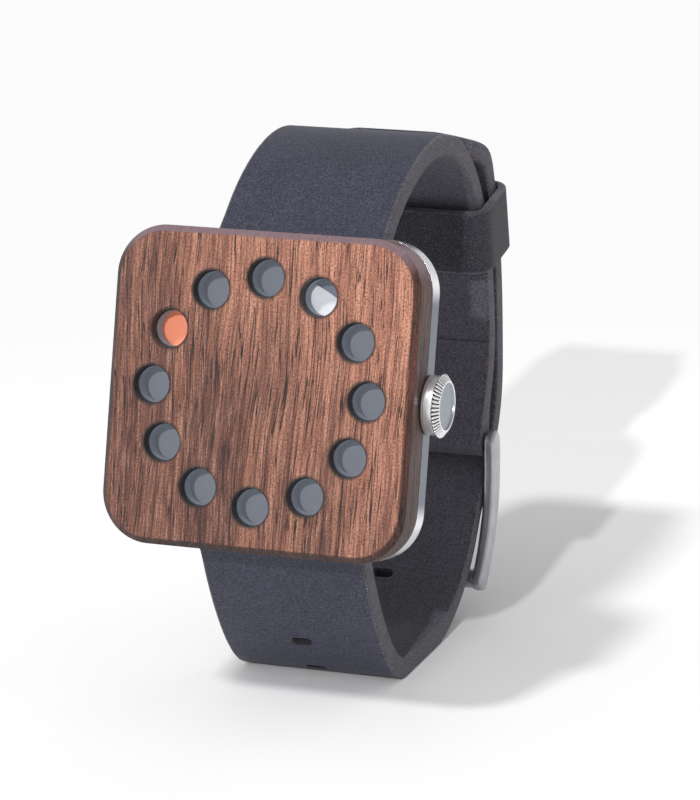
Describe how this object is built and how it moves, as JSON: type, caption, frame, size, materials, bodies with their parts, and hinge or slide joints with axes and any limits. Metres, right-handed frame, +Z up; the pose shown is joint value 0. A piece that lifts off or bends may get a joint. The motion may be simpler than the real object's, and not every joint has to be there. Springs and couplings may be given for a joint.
{
  "type": "wristwatch",
  "caption": "Wristwatch with a walnut cover pierced by round hour holes, a metal case with a knurled crown, and a buckled leather strap that stands as a closed loop.",
  "frame": {"origin": "on the flat foot of the strap loop, in the middle of the watch's width", "axes": "+Z up; the dial faces -Y, leaning back; +X is to the right of someone facing the dial, on the crown's side"},
  "size_m": [0.045, 0.0734, 0.0729],
  "materials": {
    "walnut": "satin oiled, open grain",
    "smoked_plastic": "matt",
    "dial_metal": "matt bead-blasted",
    "white_hand": "white lacquer",
    "orange_hand": "orange lacquer",
    "case_metal": "satin",
    "seal_rubber": "matt",
    "steel": "bright",
    "movement_plastic": "moulded",
    "brass": "polished",
    "copper": "enamelled copper wire",
    "board": "solder mask",
    "buckle_steel": "satin",
    "leather": "smooth navy, raw edges"
  },
  "bodies": {
    "case": {"wood_cover": "walnut", "aperture_plate": "smoked_plastic", "dial_plate": "dial_metal", "cover_gasket": "seal_rubber", "case_frame": "case_metal", "case_back": "case_metal", "back_gasket": "seal_rubber", "back_screws": "steel", "movement_ring": "movement_plastic", "main_plate": "movement_plastic", "train_bridge": "movement_plastic", "bridge_screws": "steel", "stator": "steel", "coil": "copper", "circuit_board": "board", "quartz_can": "steel", "button_cell": "steel", "cell_clip": "brass", "crown_tube": "steel", "upper_spring_bar": "steel", "lower_spring_bar": "steel", "buckle_spring_bar": "steel", "upper_strap": "leather", "lower_strap": "leather"},
    "minute_arbor": {"cannon_pinion": "brass", "centre_wheel": "brass", "minute_hand": "white_hand"},
    "hour_arbor": {"hour_wheel": "brass", "hour_hand": "orange_hand"},
    "minute_wheel_arbor": {"minute_wheel": "brass"},
    "intermediate_arbor": {"intermediate_wheel": "brass"},
    "rotor_arbor": {"rotor": "steel"},
    "clutch": {"sliding_pinion": "steel"},
    "crown_and_stem": {"crown": "case_metal", "stem": "steel", "crown_gasket": "seal_rubber"},
    "keeper_loop": {"keeper": "leather"},
    "buckle": {"buckle_frame": "buckle_steel"},
    "tongue": {"buckle_tongue": "buckle_steel"}
  },
  "joints": [
    {"name": "minute_hand_turn", "type": "hinge", "parent": "case", "child": "minute_arbor", "pos_m": [0, -0.02414, 0.04406], "axis": [0, 0.9703, -0.2419], "continuous": true},
    {"name": "hour_hand_turn", "type": "hinge", "parent": "case", "child": "hour_arbor", "pos_m": [0, -0.02608, 0.04455], "axis": [0, 0.9703, -0.2419], "continuous": true},
    {"name": "minute_wheel_turn", "type": "hinge", "parent": "case", "child": "minute_wheel_arbor", "pos_m": [-0.00226, -0.02505, 0.04662], "axis": [0, 0.9703, -0.2419], "continuous": true},
    {"name": "intermediate_wheel_turn", "type": "hinge", "parent": "case", "child": "intermediate_arbor", "pos_m": [-0.00115, -0.02461, 0.04093], "axis": [0, 0.9703, -0.2419], "continuous": true},
    {"name": "rotor_turn", "type": "hinge", "parent": "case", "child": "rotor_arbor", "pos_m": [-0.00371, -0.02484, 0.04002], "axis": [0, 0.9703, -0.2419], "continuous": true},
    {"name": "crown_turn", "type": "hinge", "parent": "case", "child": "clutch", "pos_m": [0.00655, -0.02521, 0.04433], "axis": [1, 0, 0], "continuous": true},
    {"name": "crown_pull", "type": "slide", "parent": "clutch", "child": "crown_and_stem", "axis": [1, 0, 0], "range_m": [0, 0.0008]},
    {"name": "keeper_slide", "type": "slide", "parent": "case", "child": "keeper_loop", "axis": [0, -0.1908, 0.9816], "range_m": [-0.0015, 0.0005]},
    {"name": "buckle_turn", "type": "hinge", "parent": "case", "child": "buckle", "pos_m": [0, 0.0269, 0.0244], "axis": [1, 0, 0], "range_deg": [0, 1.5]},
    {"name": "tongue_turn", "type": "hinge", "parent": "buckle", "child": "tongue", "pos_m": [0, 0.0269, 0.0244], "axis": [1, 0, 0], "range_deg": [0, 1.5]}
  ],
  "couplings": [
    {"joint": "hour_hand_turn", "follows": "minute_hand_turn", "ratio": 0.083333},
    {"joint": "minute_wheel_turn", "follows": "minute_hand_turn", "ratio": -0.33333},
    {"joint": "intermediate_wheel_turn", "follows": "minute_hand_turn", "ratio": -5},
    {"joint": "rotor_turn", "follows": "minute_hand_turn", "ratio": 30}
  ]
}
